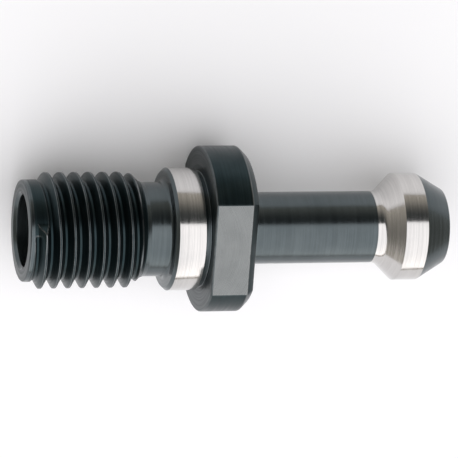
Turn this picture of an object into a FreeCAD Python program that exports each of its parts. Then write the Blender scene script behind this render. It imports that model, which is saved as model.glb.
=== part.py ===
import FreeCAD, Part
import Sketcher
import math
import os

# A pull stud for a size 40 machine-tool taper: one piece of hardened steel, turned from bar.
#
# Frame, in millimetres: X is the stud's axis, from the threaded shank (-X) to the gripped head
# (+X). X = 0 is the flange's contact face, which seats on the end of the taper. The two wrench
# flats face +Z and -Z, so the stud lies on the lower one.

DOCUMENT = "pull_stud"
NODE = "pull_stud"
SHEET = "Sizes"
HALF = 0.5
FULL_TURN = 360.0

# Every size is a length in millimetres or an angle in degrees. Steps and clearances are measured
# on the radius, and each one is added to or taken from the size that it depends on.
SIZES = {
    # threaded shank, from its end face to the flange
    "shank_length": 25.0,
    "lead_length": 2.0,
    "lead_rise": 0.257,
    "lead_edge": 0.3,
    "thread_diameter": 16.0,
    "thread_pitch": 2.0,
    "thread_flank_angle": 30.0,
    "thread_overcut": 0.15,
    "first_groove": 1.0,
    "thread_start_angle": 80.0,
    "ridge_start_angle": 84.0,
    "ridge_foot_gap": 0.02,
    # relief between the thread and the pilot
    "relief_length": 5.0,
    "runout_gap": 0.023,
    "relief_gap": 0.273,
    "relief_taper": 0.75,
    "relief_corner": 0.6,
    # ground pilot and the undercut between it and the flange
    "pilot_step": 0.5,
    "pilot_length": 5.0,
    "pilot_chamfer": 0.43,
    "undercut_depth": 0.5,
    "undercut_width": 0.8,
    # flange with two wrench flats
    "flange_diameter": 23.0,
    "flange_thickness": 6.2,
    "flange_chamfer": 1.0,
    "flange_seat_edge": 0.25,
    "flat_depth": 2.0,
    # neck and head
    "neck_diameter": 10.0,
    "neck_root": 1.0,
    "neck_throat": 1.5,
    "head_corner": 28.0,
    "head_step": 2.5,
    "head_land": 3.2,
    "tip_step": 2.25,
    "tip_length": 3.8,
    "tip_edge": 0.15,
    # stepped bore for coolant
    "bore_diameter": 10.0,
    "bore_depth": 18.0,
    "bore_chamfer": 0.4,
    "bore_cone_length": 1.8,
    "coolant_diameter": 4.0,
}

# The ISO metric profile of an external thread, as shares of its pitch.
THREAD_DEPTH = 0.61343
THREAD_ROOT_FLAT = 1 / 6


class Plan:
    """The document, its sheet of sizes and its body, with short ways to use them."""

    def __init__(self):
        self.doc = FreeCAD.newDocument(DOCUMENT)
        self.sheet = self.doc.addObject("Spreadsheet::Sheet", SHEET)
        for row, (alias, value) in enumerate(SIZES.items(), start=1):
            cell = "B" + str(row)
            self.sheet.set("A" + str(row), alias)
            self.sheet.set(cell, str(value))
            self.sheet.setAlias(cell, alias)
        self.doc.recompute()
        self.body = self.doc.addObject("PartDesign::Body", NODE)
        self.body.Label = NODE

    def value(self, terms):
        """The number that a signed sum of named sizes comes to."""
        return sum(factor * self.sheet.get(alias) for alias, factor in terms.items())

    def bind(self, thing, path, terms, sign=1):
        """Ties one property or constraint to a signed sum of named sizes."""
        parts = [f"{sign * factor} * {SHEET}.{alias}" for alias, factor in terms.items()]
        thing.setExpression(path, " + ".join(parts))

    def axis(self, role):
        """One of the body's own origin planes or axes."""
        return next(item for item in self.body.Origin.OriginFeatures if item.Role == role)

    def sketch(self, name, role):
        """An empty sketch on one of the body's origin planes."""
        sketch = self.body.newObject("Sketcher::SketchObject", name)
        sketch.AttachmentSupport = (self.axis(role), [""])
        sketch.MapMode = "FlatFace"
        self.doc.recompute()
        return sketch

    def feature(self, kind, name, profile):
        """A new feature of the body that is made from a sketch."""
        feature = self.body.newObject("PartDesign::" + kind, name)
        feature.Profile = (profile, [""])
        return feature

    def volume(self):
        """The body's volume so far."""
        self.doc.recompute()
        return self.body.Shape.Volume


def pin_point(plan, sketch, line, name, place):
    """Fixes the start of a line at a place given as two signed sums of named sizes."""
    for kind, axis, terms in (("DistanceX", -2, place[0]), ("DistanceY", -1, place[1])):
        value = plan.value(terms)
        if abs(value) < 1e-9:
            sketch.addConstraint(Sketcher.Constraint("PointOnObject", line, 1, axis))
            continue
        ends = (-1, 1, line, 1) if value > 0 else (line, 1, -1, 1)
        index = sketch.addConstraint(Sketcher.Constraint(kind, *ends, abs(value)))
        label = name + kind[-1]
        sketch.renameConstraint(index, label)
        plan.bind(sketch, "Constraints." + label, terms, 1 if value > 0 else -1)


def add_outline(plan, sketch, places):
    """Draws a closed outline through named corners and ties every corner to the sheet."""
    points = [FreeCAD.Vector(plan.value(across), plan.value(up), 0) for _, across, up in places]
    count = len(points)
    lines = [
        sketch.addGeometry(Part.LineSegment(points[i], points[(i + 1) % count]), False)
        for i in range(count)
    ]
    for i in range(count):
        following = lines[(i + 1) % count]
        sketch.addConstraint(Sketcher.Constraint("Coincident", lines[i], 2, following, 1))
    for line, (name, across, up) in zip(lines, places):
        pin_point(plan, sketch, line, name, (across, up))


def at(**terms):
    """A signed sum of named sizes, such as at(shank_length=-1, lead_edge=1)."""
    return terms


def plus(*sums):
    """Several signed sums of named sizes added together."""
    total = {}
    for terms in sums:
        for alias, factor in terms.items():
            total[alias] = total.get(alias, 0) + factor
    return total


def negative(terms):
    """The same signed sum with every sign changed."""
    return {alias: -factor for alias, factor in terms.items()}


# Radii of the stud, each built up from the thread, the neck or the flange.
CREST = at(thread_diameter=HALF)
ROOT = plus(CREST, at(thread_pitch=-THREAD_DEPTH))
LEAD = plus(ROOT, at(lead_rise=1))
RUNOUT = plus(ROOT, at(runout_gap=-1))
RELIEF = plus(ROOT, at(relief_gap=-1))
PILOT = plus(CREST, at(pilot_step=1))
UNDERCUT = plus(PILOT, at(undercut_depth=-1))
FLANGE = at(flange_diameter=HALF)
FLAT = plus(FLANGE, at(flat_depth=-1))
NECK = at(neck_diameter=HALF)
HEAD = plus(NECK, at(head_step=1))
TIP = plus(HEAD, at(tip_step=-1))
BORE = at(bore_diameter=HALF)
COOLANT = at(coolant_diameter=HALF)

# Places along the axis, measured from the contact face.
SHANK_END = at(shank_length=-1)
THREAD_START = plus(SHANK_END, at(lead_length=1))
FIRST_GROOVE = plus(SHANK_END, at(first_groove=1))
THREAD_STOP = at(pilot_length=-1, relief_length=-1)
RUNOUT_FOOT = plus(THREAD_STOP, CREST, negative(RUNOUT))
RELIEF_START = plus(RUNOUT_FOOT, at(relief_taper=1))
PILOT_FACE = at(pilot_length=-1)
UNDERCUT_START = at(undercut_width=-1)
FLANGE_FACE = at(flange_thickness=1)
HEAD_CORNER = at(head_corner=1)
THROAT = plus(HEAD_CORNER, at(head_step=-1))
SHOULDER = plus(HEAD_CORNER, at(head_land=1))
TIP_FACE = plus(SHOULDER, at(tip_length=1))


def turned_blank(plan):
    """Everything the lathe leaves before the thread is cut, as one half-section."""
    outline = [
        ("axis_start", SHANK_END, at()),
        ("shank_end", SHANK_END, LEAD),
        ("lead_end", plus(THREAD_START, LEAD, negative(CREST)), LEAD),
        ("thread_start", THREAD_START, CREST),
        ("thread_stop", THREAD_STOP, CREST),
        ("runout_foot", RUNOUT_FOOT, RUNOUT),
        ("relief_start", RELIEF_START, RELIEF),
        ("relief_corner", PILOT_FACE, RELIEF),
        ("pilot_face", PILOT_FACE, plus(PILOT, at(pilot_chamfer=-1))),
        ("pilot_start", plus(PILOT_FACE, at(pilot_chamfer=1)), PILOT),
        ("pilot_end", UNDERCUT_START, PILOT),
        ("undercut_start", UNDERCUT_START, UNDERCUT),
        ("undercut_end", at(), UNDERCUT),
        ("seat_edge", at(), plus(FLANGE, at(flange_seat_edge=-1))),
        ("flange_start", at(flange_seat_edge=1), FLANGE),
        ("flange_end", FLANGE_FACE, FLANGE),
        ("neck_root", FLANGE_FACE, NECK),
        ("neck_throat", THROAT, NECK),
        ("head_corner", HEAD_CORNER, HEAD),
        ("head_shoulder", SHOULDER, HEAD),
        ("tip_rim", TIP_FACE, TIP),
        ("axis_end", TIP_FACE, at()),
    ]
    sketch = plan.sketch("blank_section", "XY_Plane")
    add_outline(plan, sketch, outline)
    blank = plan.feature("Revolution", "turned_blank", sketch)
    blank.ReferenceAxis = (sketch, ["H_Axis"])
    blank.Angle = FULL_TURN


def stepped_bore(plan):
    """The bore from the thread end, its drilled cone and the coolant hole to the tip."""
    floor = plus(SHANK_END, at(bore_depth=1))
    outline = [
        ("mouth_axis", SHANK_END, at()),
        ("mouth_rim", SHANK_END, plus(BORE, at(bore_chamfer=1))),
        ("bore_start", plus(SHANK_END, at(bore_chamfer=1)), BORE),
        ("bore_floor", floor, BORE),
        ("cone_foot", plus(floor, at(bore_cone_length=1)), COOLANT),
        ("coolant_end", TIP_FACE, COOLANT),
        ("coolant_axis", TIP_FACE, at()),
    ]
    before = plan.volume()
    sketch = plan.sketch("bore_section", "XY_Plane")
    add_outline(plan, sketch, outline)
    bore = plan.feature("Groove", "stepped_bore", sketch)
    bore.ReferenceAxis = (sketch, ["H_Axis"])
    bore.Angle = FULL_TURN
    expect_less(plan, before, "stepped_bore")


def wrench_flats(plan):
    """Two parallel flats milled across the flange."""
    before = plan.volume()
    sketch = plan.sketch("flats_section", "YZ_Plane")
    wide = at(flange_diameter=1)
    for label, low, high in (
        ("upper_", FLAT, wide),
        ("lower_", negative(FLAT), negative(wide)),
    ):
        add_outline(plan, sketch, [
            (label + "a", negative(wide), low),
            (label + "b", wide, low),
            (label + "c", wide, high),
            (label + "d", negative(wide), high),
        ])
    flats = plan.feature("Pocket", "wrench_flats", sketch)
    flats.Type = "Length"
    flats.Reversed = True
    plan.bind(flats, "Length", FLANGE_FACE)
    expect_less(plan, before, "wrench_flats")


def tilted_sketch(plan, name, angle):
    """A sketch on a plane through the axis, turned about it by a named angle."""
    sketch = plan.sketch(name, "XY_Plane")
    turn = FreeCAD.Rotation(FreeCAD.Vector(1, 0, 0), 0)
    sketch.AttachmentOffset = FreeCAD.Placement(FreeCAD.Vector(), turn)
    sketch.setExpression("AttachmentOffset.Rotation.Angle", SHEET + "." + angle)
    plan.doc.recompute()
    return sketch


def helical_cut(plan, name, sketch, height):
    """Sweeps a section along the thread's helix and takes it from the stud."""
    before = plan.volume()
    cut = plan.feature("SubtractiveHelix", name, sketch)
    cut.ReferenceAxis = (plan.axis("X_Axis"), [""])
    cut.Mode = "pitch-height-angle"
    cut.Reversed = False
    cut.LeftHanded = False
    cut.Angle = 0
    plan.bind(cut, "Pitch", at(thread_pitch=1))
    plan.bind(cut, "Height", height)
    expect_less(plan, before, name)


def thread(plan):
    """The right-hand thread, cut as one 60 degree groove that runs out into the relief."""
    rim = plus(CREST, at(thread_overcut=1))
    slope = math.tan(math.radians(plan.value(at(thread_flank_angle=1))))
    foot = at(thread_pitch=HALF * THREAD_ROOT_FLAT)
    flank = plus(foot, at(thread_pitch=slope * THREAD_DEPTH, thread_overcut=slope))
    sketch = tilted_sketch(plan, "thread_groove", "thread_start_angle")
    add_outline(plan, sketch, [
        ("root_left", plus(FIRST_GROOVE, negative(foot)), ROOT),
        ("root_right", plus(FIRST_GROOVE, foot), ROOT),
        ("rim_right", plus(FIRST_GROOVE, flank), rim),
        ("rim_left", plus(FIRST_GROOVE, negative(flank)), rim),
    ])
    helical_cut(plan, "thread", sketch, plus(RELIEF_START, negative(FIRST_GROOVE)))


def blunt_start(plan):
    """Takes off the thin first turn of the ridge, so that the thread begins at one bold step."""
    foot = plus(LEAD, at(ridge_foot_gap=1))
    rim = plus(CREST, at(thread_overcut=1))
    left = plus(FIRST_GROOVE, at(thread_pitch=-1))
    sketch = tilted_sketch(plan, "first_turn", "ridge_start_angle")
    add_outline(plan, sketch, [
        ("lead_left", left, foot),
        ("lead_right", FIRST_GROOVE, foot),
        ("air_right", FIRST_GROOVE, rim),
        ("air_left", left, rim),
    ])
    helical_cut(plan, "blunt_start", sketch, at(thread_pitch=1))


def expect_less(plan, before, name):
    """Stops the build when a cutting feature has removed nothing."""
    after = plan.volume()
    if not after < before:
        raise RuntimeError(name + " has cut nothing")
    print(f"{name}: {before:.1f} -> {after:.1f} mm3")


def edges_where(plan, test):
    """Names of the body's edges whose every sampled point passes a test."""
    names = []
    for index, edge in enumerate(plan.body.Shape.Edges, start=1):
        points = edge.discretize(9)
        if all(test(point) for point in points):
            names.append("Edge" + str(index))
    if not names:
        raise RuntimeError("no edge found for a chamfer or fillet")
    return names


def near(value, target):
    """Whether two lengths agree closely enough to name the same edge."""
    return abs(value - target) < 1e-4


def off_axis(point):
    """A point's distance from the stud's axis."""
    return math.hypot(point.y, point.z)


def break_edges(plan, kind, name, size, test):
    """Adds a chamfer or fillet, of a size from the sheet, to the edges that pass a test."""
    plan.doc.recompute()
    names = edges_where(plan, test)
    base = plan.body.Tip
    feature = plan.body.newObject("PartDesign::" + kind, name)
    feature.Base = (base, names)
    plan.bind(feature, "Radius" if kind == "Fillet" else "Size", at(**{size: 1}))
    plan.doc.recompute()


def ring(plan, station, reach):
    """A test for the circular edge at a station and radius given as signed sums."""
    place = plan.value(station)
    size = plan.value(reach)
    return lambda point: near(point.x, place) and near(off_axis(point), size)


def flange_rim(plan):
    """A test for the outer edges of the flange's face, its flats' edges among them."""
    place = plan.value(FLANGE_FACE)
    inner = HALF * (plan.value(NECK) + plan.value(FLAT))
    return lambda point: near(point.x, place) and off_axis(point) > inner


def finish_edges(plan):
    """The flange's chamfer, which follows its flats too, and the turned radii."""
    break_edges(plan, "Chamfer", "flange_bevel", "flange_chamfer", flange_rim(plan))
    for name, size, station, reach in (
        ("neck_root_radius", "neck_root", FLANGE_FACE, NECK),
        ("neck_throat_radius", "neck_throat", THROAT, NECK),
        ("relief_radius", "relief_corner", PILOT_FACE, RELIEF),
        ("lead_radius", "lead_edge", SHANK_END, LEAD),
        ("tip_radius", "tip_edge", TIP_FACE, TIP),
    ):
        break_edges(plan, "Fillet", name, size, ring(plan, station, reach))


def main():
    """Builds the stud, checks it and writes it out."""
    plan = Plan()
    turned_blank(plan)
    wrench_flats(plan)
    finish_edges(plan)
    stepped_bore(plan)
    blunt_start(plan)
    thread(plan)
    check(plan)
    write(plan)


def check(plan):
    """Stops the build on any failed object or on a shape that is empty or invalid."""
    plan.doc.recompute()
    for thing in plan.doc.Objects:
        if "Invalid" in thing.State or "Error" in thing.State:
            raise RuntimeError(thing.Name + " failed: " + str(thing.State))
    shape = plan.body.Shape
    if shape.isNull() or not shape.isValid() or len(shape.Solids) != 1:
        raise RuntimeError("the stud is not one valid solid")


def write(plan):
    """Writes the stud's solid as STEP."""
    os.makedirs("parts", exist_ok=True)
    shape = plan.body.Shape
    shape.exportStep("parts/" + NODE + ".step")
    centre = shape.Solids[0].CenterOfMass
    print(f"{NODE}: {shape.Volume:.1f} mm3, centre {centre}")


main()
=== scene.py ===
"""Dresses a pull stud: threaded shank, ground pilot, flange with wrench flats, neck and gripped head."""
import sys
import logging
import math
from dataclasses import dataclass, field
from enum import Enum

import bmesh
import bpy
from mathutils import Matrix, Vector


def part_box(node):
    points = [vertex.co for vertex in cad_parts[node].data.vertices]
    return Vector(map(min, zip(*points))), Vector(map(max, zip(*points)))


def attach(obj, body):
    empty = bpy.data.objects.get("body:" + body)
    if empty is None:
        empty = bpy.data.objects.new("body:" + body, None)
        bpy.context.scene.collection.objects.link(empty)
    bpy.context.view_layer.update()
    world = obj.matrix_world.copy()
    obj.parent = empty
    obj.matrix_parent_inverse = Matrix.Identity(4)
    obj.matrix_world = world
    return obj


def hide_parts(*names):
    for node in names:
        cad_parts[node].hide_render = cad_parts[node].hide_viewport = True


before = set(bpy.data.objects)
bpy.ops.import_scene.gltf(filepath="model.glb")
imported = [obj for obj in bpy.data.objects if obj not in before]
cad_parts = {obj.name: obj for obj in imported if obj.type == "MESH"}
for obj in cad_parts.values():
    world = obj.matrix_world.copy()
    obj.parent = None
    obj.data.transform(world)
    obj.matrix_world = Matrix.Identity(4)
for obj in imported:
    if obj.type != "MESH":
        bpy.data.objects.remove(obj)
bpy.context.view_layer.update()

MM = 0.001
TURN = 2 * math.pi
COLUMNS = 288
FLANK_RISE = math.sqrt(3)
WELD = 0.0015
DEGENERATE = 0.0008
SHARP_ANGLE = math.radians(38)
NODE = "pull_stud"
log = logging.getLogger("pull_stud")


class Coat(Enum):
    """The finishes of the stud, in the order of its material slots."""

    BLACK = 0
    GROUND = 1
    MILLED = 2
    DULL = 3


class Nodes:
    """A small helper that adds nodes and links to one tree."""

    def __init__(self, tree: bpy.types.NodeTree) -> None:
        """Keeps the tree that the nodes go into."""
        self.tree = tree

    def add(self, kind: str, **settings: object) -> bpy.types.Node:
        """Adds one node.

        Args:
            kind: Blender's name of the node's type.
            settings: properties to set on the node.

        Returns:
            The new node.
        """
        node = self.tree.nodes.new(kind)
        for name, value in settings.items():
            setattr(node, name, value)
        return node

    def feed(self, socket: bpy.types.NodeSocket, value: object) -> None:
        """Sets a socket to a number or colour, or links it to another socket."""
        if isinstance(value, bpy.types.NodeSocket):
            self.tree.links.new(value, socket)
        else:
            socket.default_value = value

    def math(self, operation: str, *values: object) -> bpy.types.NodeSocket:
        """Adds a Math node.

        Args:
            operation: the Math node's operation.
            values: numbers or sockets, in the order of its inputs.

        Returns:
            Its output socket.
        """
        node = self.add("ShaderNodeMath", operation=operation)
        for place, value in enumerate(values):
            self.feed(node.inputs[place], value)
        return node.outputs[0]

    def ramp(self, value: object, low: object, high: object, to_low: object, to_high: object,
             smooth: bool = True) -> bpy.types.NodeSocket:
        """Adds a Map Range node.

        Args:
            value: what is mapped.
            low: the start of its range.
            high: the end of its range.
            to_low: the result at the start.
            to_high: the result at the end.
            smooth: an S-shaped passage instead of a straight one.

        Returns:
            Its output socket.
        """
        node = self.add("ShaderNodeMapRange", interpolation_type="SMOOTHSTEP" if smooth else "LINEAR")
        for place, part in enumerate((value, low, high, to_low, to_high)):
            self.feed(node.inputs[place], part)
        return node.outputs[0]

    def blend(self, share: object, first: object, second: object,
              kind: str = "MIX") -> bpy.types.NodeSocket:
        """Mixes two colours.

        Args:
            share: how much of the second shows.
            first: a colour or socket.
            second: a colour or socket.
            kind: the Mix node's way of mixing.

        Returns:
            The result's socket.
        """
        node = self.add("ShaderNodeMix", data_type="RGBA", blend_type=kind)
        for place, part in zip((0, 6, 7), (share, first, second)):
            self.feed(node.inputs[place], part)
        return node.outputs[2]


@dataclass(frozen=True)
class Corner:
    """A corner of a turned outline: station, radius and rounding in mm, and the finish after it."""

    x: float
    r: float
    rounding: float = 0.0
    coat: Coat = Coat.BLACK


@dataclass
class Skin:
    """Rings of points about the axis, joined into one open sleeve."""

    rings: list[list[Vector]] = field(default_factory=list)
    coats: list[Coat] = field(default_factory=list)

    def ring(self, points: list[Vector], coat: Coat) -> None:
        """Adds one ring and the finish of the band after it."""
        self.rings.append(points)
        self.coats.append(coat)

    def turned(self, corners: list[Corner], steps: int = 5) -> None:
        """Adds the rings of a turned outline, with each corner rounded.

        Args:
            corners: the outline's corners in order.
            steps: how many parts a rounding has.
        """
        for x, r, coat in rounded(corners, steps):
            self.ring(circle(x, r), coat)

    def mesh(self, name: str) -> bpy.types.Mesh:
        """Makes the sleeve's mesh.

        Args:
            name: the mesh's name.

        Returns:
            The open mesh, with a material index on each face.
        """
        points = [p for ring in self.rings for p in ring]
        faces, kinds = [], []
        for row in range(len(self.rings) - 1):
            for column in range(COLUMNS):
                after = (column + 1) % COLUMNS
                a, b = row * COLUMNS, (row + 1) * COLUMNS
                faces.append((a + column, a + after, b + after, b + column))
                kinds.append(self.coats[row].value)
        mesh = bpy.data.meshes.new(name)
        mesh.from_pydata(points, [], faces)
        mesh.polygons.foreach_set("material_index", kinds)
        return mesh


def circle(x: float, r: float) -> list[Vector]:
    """A ring of points about the axis, from +Y towards +Z, at a station and radius in mm."""
    return [Vector((x * MM, r * MM * math.cos(a), r * MM * math.sin(a)))
            for a in (TURN * column / COLUMNS for column in range(COLUMNS))]


def rounded(corners: list[Corner], steps: int) -> list[tuple[float, float, Coat]]:
    """Rounds an outline's corners.

    Args:
        corners: the outline's corners in order.
        steps: how many parts a rounding has.

    Returns:
        Stations and radii in mm, each with the finish of the band after it.
    """
    out = [(corners[0].x, corners[0].r, corners[0].coat)]
    for before, here, after in zip(corners, corners[1:], corners[2:]):
        p = Vector((here.x, here.r))
        back = (Vector((before.x, before.r)) - p).normalized()
        on = (Vector((after.x, after.r)) - p).normalized()
        if here.rounding <= 0:
            out.append((p.x, p.y, here.coat))
            continue
        half = back.angle(on) / 2
        reach = here.rounding / math.tan(half)
        centre = p + (back + on).normalized() * (here.rounding / math.sin(half))
        start, end = p + back * reach - centre, p + on * reach - centre
        sweep = start.angle(end)
        for step in range(steps + 1):
            share = step / steps
            q = (start * math.sin((1 - share) * sweep) + end * math.sin(share * sweep)) / math.sin(sweep)
            out.append((centre.x + q.x, centre.y + q.y, before.coat if share < 0.5 else here.coat))
    out.append((corners[-1].x, corners[-1].r, corners[-1].coat))
    return out


@dataclass
class ThreadedShank:
    """The M16 x 2 shank: bored end, lead, thread with a blunt start, and run-out."""

    length: float = 25.0
    mouth: float = 5.4
    lead: float = 7.03
    lead_edge: float = 0.3
    crest: float = 8.0
    root: float = 6.773
    pitch: float = 2.0
    root_flat: float = 1 / 3
    first_groove: float = -24.0
    start_angle: float = 80.0
    rise: float = -23.97
    runout: float = -8.75
    runout_radius: float = 6.75
    begin: float = -24.4
    end: float = -8.6
    blunt: float = 0.045
    root_round: float = 0.10
    crest_round: float = 0.065
    cone_round: float = 0.06
    taper_slope: float = 1 / 3
    groove_lift: float = 1.6
    ridge_lift: float = 1.2
    uncapped: float = 9.0
    relief: float = 6.5
    relief_corner: float = 0.6
    shoulder: float = -5.0

    def front(self) -> list[Corner]:
        """The bored end face and the plain lead."""
        return [
            Corner(-self.length, self.mouth, 0.0, Coat.DULL),
            Corner(-self.length, self.lead, self.lead_edge, Coat.BLACK),
            Corner(self.begin, self.lead, 0.0, Coat.BLACK),
        ]

    def back(self) -> list[Corner]:
        """The relief groove after the run-out, up to the pilot's face."""
        taper = (self.runout_radius - self.relief) / 0.75
        return [
            Corner(self.end, self.runout_radius - (self.end - self.runout) * taper),
            Corner(self.runout + 0.75, self.relief, 0.5),
            Corner(self.shoulder, self.relief, self.relief_corner),
        ]

    def form(self) -> bpy.types.Mesh:
        """The rows of the thread's surface, as one point per row at its place along the helix in turns."""
        half = [0.0, 0.14, 0.19, 0.27, 0.42, 0.60, 0.76, 0.84, 0.885, 0.94]
        pitch = [d / self.pitch for d in half] + [0.5] + [1 - d / self.pitch for d in half[:0:-1]]
        first = math.floor((self.begin - self.first_groove) / self.pitch) - 1
        last = math.ceil((self.end - self.first_groove) / self.pitch)
        rows = [turn + share for turn in range(first, last) for share in pitch] + [float(last)]
        mesh = bpy.data.meshes.new("thread_rows")
        mesh.from_pydata([(row, 0.0, 0.0) for row in rows], [], [])
        return mesh

    def tree(self) -> bpy.types.NodeTree:
        """Builds the Geometry Nodes tree that turns the rows into the threaded surface.

        Returns:
            The tree, with a named input for each size in metres.
        """
        tree = bpy.data.node_groups.new("helical_thread", "GeometryNodeTree")
        face = tree.interface
        face.new_socket("Rows", in_out="INPUT", socket_type="NodeSocketGeometry")
        for name in ("Pitch", "Crest Radius", "Root Radius", "Root Flat", "Lead Radius", "First Groove",
                     "Start Angle", "Rise", "Run-out", "Run-out Radius", "Begin", "End", "Blunt Start"):
            face.new_socket(name, in_out="INPUT", socket_type="NodeSocketFloat")
        face.new_socket("Columns", in_out="INPUT", socket_type="NodeSocketInt")
        face.new_socket("Finish", in_out="INPUT", socket_type="NodeSocketMaterial")
        face.new_socket("Thread", in_out="OUTPUT", socket_type="NodeSocketGeometry")
        n = Nodes(tree)
        given = n.add("NodeGroupInput").outputs
        size = n.add("GeometryNodeAttributeDomainSize", component="MESH")
        n.feed(size.inputs[0], given["Rows"])
        grid = n.add("GeometryNodeMeshGrid")
        n.feed(grid.inputs["Size X"], 1.0)
        n.feed(grid.inputs["Size Y"], 1.0)
        n.feed(grid.inputs["Vertices X"], size.outputs["Point Count"])
        n.feed(grid.inputs["Vertices Y"], n.math("ADD", given["Columns"], 1.0))
        place = n.add("ShaderNodeSeparateXYZ")
        n.feed(place.inputs[0], n.add("GeometryNodeInputPosition").outputs[0])
        last = n.math("SUBTRACT", size.outputs["Point Count"], 1.0)
        row = n.math("ROUND", n.math("MULTIPLY", n.math("ADD", place.outputs[0], 0.5), last))
        turn = n.math("ADD", place.outputs[1], 0.5)
        pick = n.add("GeometryNodeSampleIndex", data_type="FLOAT_VECTOR", domain="POINT")
        n.feed(pick.inputs["Geometry"], given["Rows"])
        n.feed(pick.inputs["Value"], n.add("GeometryNodeInputPosition").outputs[0])
        n.feed(pick.inputs["Index"], row)
        picked = n.add("ShaderNodeSeparateXYZ")
        n.feed(picked.inputs[0], pick.outputs["Value"])
        along = n.math("MULTIPLY_ADD", n.math("ADD", picked.outputs[0], turn), given["Pitch"],
                       given["First Groove"])
        x = n.math("MINIMUM", n.math("MAXIMUM", along, given["Begin"]), given["End"])
        helix = n.math("SUBTRACT", n.math("DIVIDE", n.math("SUBTRACT", x, given["First Groove"]),
                                          given["Pitch"]), turn)
        aside = n.math("MULTIPLY", n.math("ABSOLUTE", n.math("SUBTRACT", helix, n.math("ROUND", helix))),
                       given["Pitch"])
        past_root = n.math("SUBTRACT", aside, n.math("MULTIPLY", given["Root Flat"], 0.5))
        flank = n.math("MULTIPLY_ADD", past_root, FLANK_RISE, given["Root Radius"])
        groove = n.math("SMOOTH_MAX", flank, given["Root Radius"], self.root_round * MM)
        plunge = n.ramp(turn, n.math("SUBTRACT", 1.0, n.math("MULTIPLY", given["Blunt Start"], 0.5)), 1.0,
                        self.groove_lift * MM, 0.0)
        before = n.math("LESS_THAN", helix, -0.5)
        groove = n.math("MULTIPLY_ADD", before, plunge, groove)
        lead = n.math("ADD", given["Lead Radius"],
                      n.math("MAXIMUM", n.math("SUBTRACT", x, given["Rise"]), 0.0))
        out = n.math("SUBTRACT", given["Run-out"], x)
        out = n.math("MAXIMUM", out, n.math("MULTIPLY", out, self.taper_slope))
        out = n.math("ADD", given["Run-out Radius"], out)
        cones = n.math("SMOOTH_MIN", lead, out, self.cone_round * MM)
        blank = n.math("SMOOTH_MIN", cones, given["Crest Radius"], self.cone_round * MM)
        cap = n.ramp(turn, n.math("SUBTRACT", 1.0, given["Blunt Start"]), 1.0, 0.0,
                     self.ridge_lift * MM)
        cap = n.math("ADD", n.math("ADD", given["Lead Radius"], cap),
                     n.math("MULTIPLY", n.math("GREATER_THAN", helix, 0.0), self.uncapped * MM))
        radius = n.math("MINIMUM", n.math("SMOOTH_MIN", blank, groove, self.crest_round * MM), cap)
        angle = n.math("ADD", n.math("MULTIPLY", turn, TURN), given["Start Angle"])
        point = n.add("ShaderNodeCombineXYZ")
        n.feed(point.inputs[0], x)
        n.feed(point.inputs[1], n.math("MULTIPLY", radius, n.math("COSINE", angle)))
        n.feed(point.inputs[2], n.math("MULTIPLY", radius, n.math("SINE", angle)))
        move = n.add("GeometryNodeSetPosition")
        n.feed(move.inputs["Geometry"], grid.outputs[0])
        n.feed(move.inputs["Position"], point.outputs[0])
        real = n.add("GeometryNodeRealizeInstances")
        n.feed(real.inputs[0], move.outputs[0])
        coat = n.add("GeometryNodeSetMaterial")
        n.feed(coat.inputs["Geometry"], real.outputs[0])
        n.feed(coat.inputs["Material"], given["Finish"])
        n.feed(n.add("NodeGroupOutput").inputs[0], coat.outputs[0])
        return tree

    def thread(self, finish: bpy.types.Material) -> bpy.types.Mesh:
        """Makes the threaded surface.

        Args:
            finish: its material.

        Returns:
            A plain open mesh between the lead and the run-out.
        """
        maker = bpy.data.objects.new("thread_maker", self.form())
        bpy.context.scene.collection.objects.link(maker)
        modifier = maker.modifiers.new("helical_thread", "NODES")
        modifier.node_group = self.tree()
        sizes = {
            "Pitch": self.pitch * MM, "Crest Radius": self.crest * MM, "Root Radius": self.root * MM,
            "Root Flat": self.root_flat * MM, "Lead Radius": self.lead * MM,
            "First Groove": self.first_groove * MM, "Start Angle": math.radians(self.start_angle),
            "Rise": self.rise * MM, "Run-out": self.runout * MM, "Run-out Radius": self.runout_radius * MM,
            "Begin": self.begin * MM, "End": self.end * MM, "Blunt Start": self.blunt,
            "Columns": COLUMNS, "Finish": finish,
        }
        for item in modifier.node_group.interface.items_tree:
            if item.in_out == "INPUT" and item.name in sizes:
                modifier[item.identifier] = sizes[item.name]
        shaped = maker.evaluated_get(bpy.context.evaluated_depsgraph_get())
        mesh = bpy.data.meshes.new_from_object(shaped)
        maker.modifiers.clear()
        bpy.data.objects.remove(maker)
        return mesh


@dataclass
class Pilot:
    """The ground pilot band between the relief and the flange's undercut."""

    start: float = -5.0
    end: float = -0.8
    radius: float = 8.5
    chamfer: float = 0.43
    undercut: float = 8.0

    def outline(self) -> list[Corner]:
        """The band's chamfer, its ground surface and the undercut's side."""
        return [
            Corner(self.start, self.radius - self.chamfer, 0.05),
            Corner(self.start + self.chamfer, self.radius, 0.08, Coat.GROUND),
            Corner(self.end, self.radius, 0.08),
            Corner(self.end, self.undercut, 0.12),
            Corner(0.0, self.undercut, 0.10, Coat.DULL),
        ]


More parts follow.
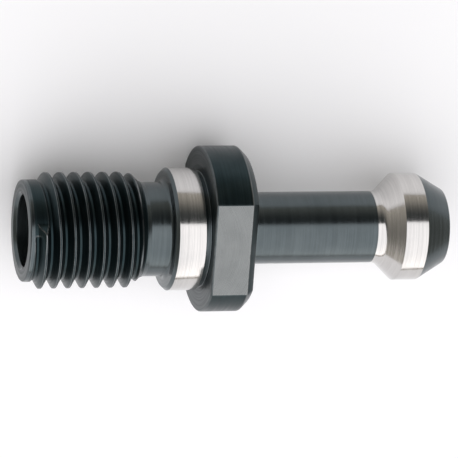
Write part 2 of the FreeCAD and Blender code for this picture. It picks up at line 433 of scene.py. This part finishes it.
@dataclass
class Flange:
    """The collar with two wrench flats, a rounded rim on the contact side and a bevel on the other."""

    radius: float = 11.5
    thickness: float = 6.2
    bevel: float = 1.0
    rim: float = 0.25
    flat: float = 9.5
    face_ring: float = 8.4

    def section(self, x: float, inset: float) -> list[Vector]:
        """One ring of the flatted section.

        Args:
            x: its station in mm.
            inset: how far it lies inside the full section, in mm.

        Returns:
            The ring's points, with columns on both sides of each flat's corner.
        """
        round_part, high = self.radius - inset, self.flat - inset
        corner = math.asin(high / round_part)
        quarter, edge = COLUMNS // 4, round(COLUMNS * 55.0 / 360)
        points = []
        for column in range(COLUMNS):
            side, step = divmod(column, quarter)
            near = step if side % 2 == 0 else quarter - step
            if near < edge:
                a = (corner - 0.006) * near / (edge - 1)
                y, z = round_part * math.cos(a), round_part * math.sin(a)
            else:
                wide = round_part * math.cos(corner) - 0.05
                y, z = wide * (quarter - near) / (quarter - edge), high
            y = y if side in (0, 3) else -y
            z = z if side in (0, 1) else -z
            points.append(Vector((x * MM, y * MM, z * MM)))
        return points

    def rim_path(self) -> list[tuple[float, float]]:
        """Stations and insets in mm from the contact face over the rim and the bevel to the other face."""
        out = [(0.0, self.rim + 0.08)]
        for step in range(6):
            a = math.pi / 2 * step / 5
            out.append((self.rim * (1 - math.cos(a)), self.rim * (1 - math.sin(a))))
        start = self.thickness - self.bevel
        return out + [
            (self.rim + 0.12, 0.0), (start - 0.2, 0.0), (start - 0.05, 0.0), (start + 0.015, 0.03),
            (start + 0.07, 0.09), (start + 0.2, 0.2), (self.thickness - 0.2, self.bevel - 0.2),
            (self.thickness - 0.09, self.bevel - 0.07), (self.thickness - 0.03, self.bevel - 0.0),
            (self.thickness, self.bevel + 0.06), (self.thickness, self.bevel + 0.25),
        ]

    def add_to(self, skin: Skin) -> None:
        """Adds the flange's rings to a skin, all in the dull finish; the flats get their own finish when
        the stud is built.
        """
        for x, inset in self.rim_path():
            skin.ring(self.section(x, inset), Coat.DULL)

    def is_flat(self, middle: Vector, normal: Vector) -> bool:
        """True for a face of a wrench flat, from its middle in metres and its normal."""
        return 0 < middle.x < self.thickness * MM and abs(normal.z) > 0.99 and abs(middle.z) > 9.3 * MM


@dataclass
class Neck:
    """The slim neck between the flange and the head."""

    start: float = 6.2
    radius: float = 5.0
    root: float = 1.0

    def outline(self) -> list[Corner]:
        """The neck's root against the flange."""
        return [Corner(self.start, 7.4, 0.0, Coat.DULL), Corner(self.start, self.radius, self.root)]


@dataclass
class GrippedHead:
    """The head: throat, 45 degree shoulder, ground land and the blackened tip cone."""

    throat: float = 25.5
    throat_round: float = 1.5
    neck_radius: float = 5.0
    corner: float = 28.0
    radius: float = 7.5
    land_end: float = 31.2
    tip: float = 35.0
    tip_radius: float = 5.25
    hole: float = 2.0

    def outline(self) -> list[Corner]:
        """The head from the throat to the rim of the coolant hole."""
        return [
            Corner(self.throat - 0.85, self.neck_radius, 0.0, Coat.GROUND),
            Corner(self.throat, self.neck_radius, self.throat_round, Coat.GROUND),
            Corner(self.corner, self.radius, 0.10, Coat.GROUND),
            Corner(self.land_end, self.radius, 0.10),
            Corner(self.tip, self.tip_radius, 0.18),
            Corner(self.tip, self.hole + 0.2, 0.04),
        ]


@dataclass
class CoolantBore:
    """The bore from the head's tip back to the thread's mouth."""

    tip: float = 35.0
    small: float = 2.0
    large: float = 5.0
    end: float = -25.0
    depth: float = 18.0
    cone: float = 1.8
    chamfer: float = 0.4

    def outline(self) -> list[Corner]:
        """The hole, the cone left by the drill and the wide bore with its chamfered mouth."""
        bottom = self.end + self.depth
        return [
            Corner(self.tip - 0.2, self.small, 0.04),
            Corner(bottom + self.cone, self.small, 0.1),
            Corner(bottom, self.large, 0.1),
            Corner(self.end + self.chamfer, self.large, 0.05),
            Corner(self.end, self.large + self.chamfer),
        ]


def new_group(name: str, inputs: dict[str, float], outputs: dict[str, str]) -> bpy.types.NodeTree:
    """Makes an empty shader group.

    Args:
        name: the group's name.
        inputs: the named numbers it takes, with their usual values.
        outputs: the named sockets it gives, with their socket types.

    Returns:
        The group.
    """
    group = bpy.data.node_groups.new(name, "ShaderNodeTree")
    for label, value in inputs.items():
        socket = group.interface.new_socket(label, in_out="INPUT", socket_type="NodeSocketFloat")
        socket.default_value = value
    for label, kind in outputs.items():
        group.interface.new_socket(label, in_out="OUTPUT", socket_type=kind)
    return group


def tool_marks() -> bpy.types.NodeTree:
    """Rings left by turning and grinding: they follow the axis on cylinders and the radius on faces.

    Returns:
        A shader group that puts out a height and a mask of the marks.
    """
    group = new_group("tool_marks", {"Marks per mm": 8.0, "Break-up": 0.3},
                      {"Height": "NodeSocketFloat", "Mask": "NodeSocketFloat"})
    n = Nodes(group)
    given = n.add("NodeGroupInput").outputs
    place = n.add("ShaderNodeSeparateXYZ")
    n.feed(place.inputs[0], n.add("ShaderNodeTexCoord").outputs["Object"])
    y, z = place.outputs[1], place.outputs[2]
    radius = n.math("SQRT", n.math("ADD", n.math("MULTIPLY", y, y), n.math("MULTIPLY", z, z)))
    fine = n.math("MULTIPLY", given["Marks per mm"], 1000.0)
    slow = n.math("MULTIPLY", given["Break-up"], 120.0)
    at = n.add("ShaderNodeCombineXYZ")
    n.feed(at.inputs[0], n.math("MULTIPLY", n.math("ADD", place.outputs[0], radius), fine))
    n.feed(at.inputs[1], n.math("MULTIPLY", y, slow))
    n.feed(at.inputs[2], n.math("MULTIPLY", z, slow))
    lines = n.add("ShaderNodeTexNoise")
    n.feed(lines.inputs["Vector"], at.outputs[0])
    n.feed(lines.inputs["Scale"], 1.0)
    n.feed(lines.inputs["Detail"], 3.0)
    out = n.add("NodeGroupOutput")
    n.feed(out.inputs["Height"], lines.outputs[0])
    n.feed(out.inputs["Mask"], n.ramp(lines.outputs[0], 0.32, 0.68, 0.0, 1.0))
    return group


def cloudiness() -> bpy.types.NodeTree:
    """Soft patches, as an oxide bath or a wiped oil film leaves them.

    Returns:
        A shader group that puts out a mask.
    """
    group = new_group("cloudiness", {"Size in mm": 4.0}, {"Mask": "NodeSocketFloat"})
    n = Nodes(group)
    given = n.add("NodeGroupInput").outputs
    noise = n.add("ShaderNodeTexNoise")
    n.feed(noise.inputs["Vector"], n.add("ShaderNodeTexCoord").outputs["Object"])
    n.feed(noise.inputs["Scale"], n.math("DIVIDE", 1000.0, given["Size in mm"]))
    n.feed(noise.inputs["Detail"], 5.0)
    n.feed(n.add("NodeGroupOutput").inputs[0], n.ramp(noise.outputs[0], 0.3, 0.7, 0.0, 1.0))
    return group


def worn_edges() -> bpy.types.NodeTree:
    """Thin rubbed lines on outer edges, from the mesh's edge attribute, broken up a little.

    Returns:
        A shader group that puts out a mask.
    """
    group = new_group("worn_edges", {"Amount": 0.6}, {"Mask": "NodeSocketFloat"})
    n = Nodes(group)
    given = n.add("NodeGroupInput").outputs
    edge = n.add("ShaderNodeAttribute", attribute_name="edge")
    noise = n.add("ShaderNodeTexNoise")
    n.feed(noise.inputs["Vector"], n.add("ShaderNodeTexCoord").outputs["Object"])
    n.feed(noise.inputs["Scale"], 900.0)
    n.feed(noise.inputs["Detail"], 4.0)
    broken = n.ramp(noise.outputs[0], 0.25, 0.6, 0.45, 1.0)
    mask = n.math("MULTIPLY", n.math("MULTIPLY", edge.outputs["Fac"], broken), given["Amount"])
    n.feed(n.add("NodeGroupOutput").inputs[0], mask)
    return group


@dataclass(frozen=True)
class SteelFinish:
    """One finish of the steel: its colours, gloss, marks and wear."""

    name: str
    colour: tuple[float, float, float, float]
    cloud_colour: tuple[float, float, float, float]
    worn_colour: tuple[float, float, float, float]
    metallic: float
    gloss: tuple[float, float]
    marks: float
    break_up: float
    mark_depth: float
    mark_shade: float
    wear: float
    cloud_size: float

    def material(self, groups: dict[str, bpy.types.NodeTree]) -> bpy.types.Material:
        """Builds the finish's material.

        Args:
            groups: the shared shader groups by name.

        Returns:
            The material.
        """
        made = bpy.data.materials.new(self.name)
        made.use_nodes = True
        made.node_tree.nodes.clear()
        n = Nodes(made.node_tree)
        shader = n.add("ShaderNodeBsdfPrincipled")
        n.feed(n.add("ShaderNodeOutputMaterial").inputs[0], shader.outputs[0])
        marks = n.add("ShaderNodeGroup", node_tree=groups["marks"])
        n.feed(marks.inputs["Marks per mm"], self.marks)
        n.feed(marks.inputs["Break-up"], self.break_up)
        clouds = n.add("ShaderNodeGroup", node_tree=groups["clouds"])
        n.feed(clouds.inputs["Size in mm"], self.cloud_size)
        worn = n.add("ShaderNodeGroup", node_tree=groups["worn"])
        n.feed(worn.inputs["Amount"], self.wear)
        shade = n.blend(clouds.outputs[0], self.colour, self.cloud_colour)
        dark = n.ramp(marks.outputs["Mask"], 0.0, 1.0, 1.0 - self.mark_shade, 1.0)
        tint = n.blend(1.0, shade, dark, "MULTIPLY")
        n.feed(shader.inputs["Base Color"], n.blend(worn.outputs[0], tint, self.worn_colour))
        n.feed(shader.inputs["Metallic"], self.metallic)
        rough = n.ramp(marks.outputs["Mask"], 0.0, 1.0, self.gloss[0], self.gloss[1])
        n.feed(shader.inputs["Roughness"], rough)
        bump = n.add("ShaderNodeBump")
        n.feed(bump.inputs["Strength"], 1.0)
        n.feed(bump.inputs["Distance"], self.mark_depth * MM)
        n.feed(bump.inputs["Height"], marks.outputs["Height"])
        n.feed(shader.inputs["Normal"], bump.outputs[0])
        return made


FINISHES = {
    Coat.BLACK: SteelFinish(
        name="black_oxide",
        colour=(0.105, 0.124, 0.130, 1), cloud_colour=(0.086, 0.104, 0.110, 1),
        worn_colour=(0.30, 0.31, 0.315, 1), metallic=0.95, gloss=(0.20, 0.27),
        marks=7.0, break_up=0.5, mark_depth=0.003, mark_shade=0.16, wear=0.5, cloud_size=5.0),
    Coat.GROUND: SteelFinish(
        name="ground_steel",
        colour=(0.62, 0.605, 0.59, 1), cloud_colour=(0.56, 0.55, 0.54, 1),
        worn_colour=(0.72, 0.71, 0.70, 1), metallic=1.0, gloss=(0.12, 0.19),
        marks=10.0, break_up=0.35, mark_depth=0.003, mark_shade=0.14, wear=0.3, cloud_size=6.0),
    Coat.MILLED: SteelFinish(
        name="milled_black_flat",
        colour=(0.205, 0.215, 0.214, 1), cloud_colour=(0.18, 0.19, 0.189, 1),
        worn_colour=(0.30, 0.31, 0.31, 1), metallic=0.95, gloss=(0.26, 0.34),
        marks=14.0, break_up=1.5, mark_depth=0.002, mark_shade=0.10, wear=0.4, cloud_size=3.0),
    Coat.DULL: SteelFinish(
        name="dull_black_oxide",
        colour=(0.030, 0.046, 0.050, 1), cloud_colour=(0.020, 0.034, 0.038, 1),
        worn_colour=(0.26, 0.27, 0.275, 1), metallic=0.95, gloss=(0.30, 0.40),
        marks=7.0, break_up=0.5, mark_depth=0.004, mark_shade=0.20, wear=0.9, cloud_size=4.0),
}


@dataclass
class PullStud:
    """The whole stud: one closed skin built from its sub-assemblies."""

    shank: ThreadedShank = field(default_factory=ThreadedShank)
    pilot: Pilot = field(default_factory=Pilot)
    flange: Flange = field(default_factory=Flange)
    neck: Neck = field(default_factory=Neck)
    head: GrippedHead = field(default_factory=GrippedHead)
    bore: CoolantBore = field(default_factory=CoolantBore)

    def skins(self) -> list[Skin]:
        """The sleeves before and after the thread.

        Returns:
            The sleeve round the bored end and the one from the run-out to the tip and back down the bore.
        """
        front, rest = Skin(), Skin()
        front.turned(self.shank.front())
        rest.turned(self.shank.back() + self.pilot.outline() + [
            Corner(0.0, self.flange.face_ring, 0.0, Coat.DULL)])
        self.flange.add_to(rest)
        rest.turned(self.neck.outline() + self.head.outline() + self.bore.outline())
        return [front, rest]

    def build(self, coats: dict[Coat, bpy.types.Material]) -> bpy.types.Object:
        """Builds the stud as one closed mesh and dresses it.

        Args:
            coats: the material of each finish.

        Returns:
            The finished piece, at the origin.
        """
        work = bmesh.new()
        work.from_mesh(self.shank.thread(coats[Coat.DULL]))
        for face in work.faces:
            face.material_index = Coat.DULL.value
        for place, skin in enumerate(self.skins()):
            work.from_mesh(skin.mesh(f"sleeve_{place}"))
        bmesh.ops.remove_doubles(work, verts=work.verts, dist=WELD * MM)
        bmesh.ops.dissolve_degenerate(work, edges=work.edges, dist=DEGENERATE * MM)
        bmesh.ops.recalc_face_normals(work, faces=work.faces)
        for face in work.faces:
            face.smooth = True
            if self.flange.is_flat(face.calc_center_median(), face.normal):
                face.material_index = Coat.MILLED.value
        self.mark_edges(work)
        loose = sum(1 for edge in work.edges if len(edge.link_faces) != 2)
        mesh = bpy.data.meshes.new("stud_skin")
        work.to_mesh(mesh)
        work.free()
        for coat in Coat:
            mesh.materials.append(coats[coat])
        mesh.set_sharp_from_angle(angle=SHARP_ANGLE)
        piece = bpy.data.objects.new("stud_skin", mesh)
        bpy.context.scene.collection.objects.link(piece)
        mesh.calc_loop_triangles()
        log.info("stud_skin: %d triangles, %d open edges", len(mesh.loop_triangles), loose)
        return piece

    def mark_edges(self, work: bmesh.types.BMesh) -> None:
        """Stores on each point how sharply the surface turns outwards there, for the worn edges."""
        layer = work.verts.layers.float.new("edge")
        work.normal_update()
        for vert in work.verts:
            bends = []
            for edge in vert.link_edges:
                run = vert.co - edge.other_vert(vert).co
                if run.length > 1e-7:
                    bends.append(vert.normal.dot(run.normalized()) / max(run.length / MM, 0.05))
            bend = max(bends) if bends else 0.0
            vert[layer] = min(1.0, max(0.0, (bend - 0.9) / 3.0))


@dataclass(frozen=True)
class SoftBox:
    """A large soft light in the plane across the stud, by its direction from +Y towards +Z."""

    name: str
    direction: float
    distance: float
    width: float
    length: float
    power: float
    colour: tuple[float, float, float]
    along: float = 0.0

    def hang(self) -> bpy.types.Object:
        """Makes the light, turned towards the stud, and returns it."""
        lamp = bpy.data.lights.new(self.name, "AREA")
        lamp.shape = "RECTANGLE"
        lamp.size, lamp.size_y = self.length, self.width
        lamp.energy, lamp.color = self.power, self.colour
        made = bpy.data.objects.new(self.name, lamp)
        a = math.radians(self.direction)
        back = Vector((0, math.cos(a), math.sin(a)))
        side = Vector((1, 0, 0))
        turn = Matrix((side, back.cross(side), back)).transposed()
        made.matrix_world = Matrix.Translation(back * self.distance + side * self.along) @ turn.to_4x4()
        made.visible_camera = False
        bpy.context.scene.collection.objects.link(made)
        return made


@dataclass(frozen=True)
class Studio:
    """The pale floor, the soft light and the pale surroundings."""

    floor_colour: tuple[float, float, float, float] = (0.86, 0.86, 0.87, 1)
    floor_lift: float = 0.10
    horizon: tuple[float, float, float, float] = (0.46, 0.43, 0.38, 1)
    zenith: tuple[float, float, float, float] = (0.05, 0.055, 0.055, 1)
    dim_height: float = 0.75
    floor_reach: float = 3.0
    floor_gap: float = 0.01
    boxes: tuple[SoftBox, ...] = (
        SoftBox("overhead_softbox", 118.0, 0.9, 2.66, 2.4, 31.0, (1.0, 0.985, 1.0)),
    )

    def floor(self) -> bpy.types.Object:
        """Lays the floor under the stud and returns it."""
        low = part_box(NODE)[0].z - self.floor_gap * MM
        reach = self.floor_reach
        sheet = [(-reach, -reach, low), (reach, -reach, low), (reach, reach, low), (-reach, reach, low)]
        mesh = bpy.data.meshes.new("floor")
        mesh.from_pydata(sheet, [], [(0, 1, 2, 3)])
        made = bpy.data.materials.new("pale_floor")
        made.use_nodes = True
        shader = made.node_tree.nodes["Principled BSDF"]
        n = Nodes(made.node_tree)
        ray = n.add("ShaderNodeLightPath").outputs
        seen = n.math("MAXIMUM", n.math("MAXIMUM", ray["Is Camera Ray"], ray["Is Glossy Ray"]),
                      ray["Is Transmission Ray"])
        n.feed(shader.inputs["Emission Strength"], n.math("MULTIPLY", seen, self.floor_lift))
        shader.inputs["Emission Color"].default_value = (1, 1, 1, 1)
        shader.inputs["Base Color"].default_value = self.floor_colour
        shader.inputs["Roughness"].default_value = 0.9
        shader.inputs["Specular IOR Level"].default_value = 0.1
        mesh.materials.append(made)
        floor = bpy.data.objects.new("floor", mesh)
        bpy.context.scene.collection.objects.link(floor)
        return floor

    def sky(self) -> None:
        """Makes the surroundings pale at the horizon and dim overhead."""
        world = bpy.data.worlds.new("surroundings")
        world.use_nodes = True
        bpy.context.scene.world = world
        n = Nodes(world.node_tree)
        place = n.add("ShaderNodeSeparateXYZ")
        n.feed(place.inputs[0], n.add("ShaderNodeTexCoord").outputs["Generated"])
        height = place.outputs[2]
        share = n.ramp(height, 0.0, self.dim_height, 0.0, 1.0)
        colour = n.blend(share, self.horizon, self.zenith)
        n.feed(world.node_tree.nodes["Background"].inputs[0], colour)

    def set_up(self) -> None:
        """Lays the floor, hangs the lights and sets the surroundings."""
        self.floor()
        self.sky()
        for box in self.boxes:
            box.hang()


@dataclass(frozen=True)
class StudioCamera:
    """A long lens above the stud, on the side of its thread."""

    swing: float = 14.06
    tilt: float = 19.0
    distance: float = 0.530
    lens: float = 300.6
    roll: float = -0.677
    aim_along: float = 4.46
    aim_down: float = 0.11

    def place(self) -> bpy.types.Object:
        """Makes the camera and makes it the scene's.

        Returns:
            The camera object.
        """
        low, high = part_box(NODE)
        axis = Vector((0, (low.y + high.y) / 2, (low.z + high.z) / 2))
        s, t = math.radians(self.swing), math.radians(self.tilt)
        right = Vector((math.cos(s), math.sin(s) * math.sin(t), math.sin(s) * math.cos(t)))
        up = Vector((0, math.cos(t), -math.sin(t)))
        back = Vector((-math.sin(s), math.cos(s) * math.sin(t), math.cos(s) * math.cos(t)))
        eye = axis + back * self.distance
        target = axis + Vector((self.aim_along * MM, 0, 0)) - up * self.aim_down * MM
        look = (eye - target).normalized()
        side = (right - look * right.dot(look)).normalized()
        rise = look.cross(side)
        turn = Matrix((side, rise, look)).transposed() @ Matrix.Rotation(math.radians(self.roll), 3, "Z")
        lens = bpy.data.cameras.new("studio_camera")
        lens.lens, lens.sensor_width = self.lens, 36.0
        lens.clip_start, lens.clip_end = 0.01, 20.0
        camera = bpy.data.objects.new("studio_camera", lens)
        camera.matrix_world = Matrix.Translation(eye) @ turn.to_4x4()
        bpy.context.scene.collection.objects.link(camera)
        bpy.context.scene.camera = camera
        return camera


def main() -> None:
    """Builds the camera, the studio and the stud."""
    logging.basicConfig(level=logging.INFO, format="%(name)s: %(message)s", stream=sys.stdout)
    scene = bpy.context.scene
    scene.view_settings.view_transform = "Standard"
    StudioCamera().place()
    Studio().set_up()
    groups = {"marks": tool_marks(), "clouds": cloudiness(), "worn": worn_edges()}
    coats = {coat: finish.material(groups) for coat, finish in FINISHES.items()}
    stud = PullStud().build(coats)
    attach(stud, "root")
    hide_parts(NODE)


if __name__ == "__main__":
    main()
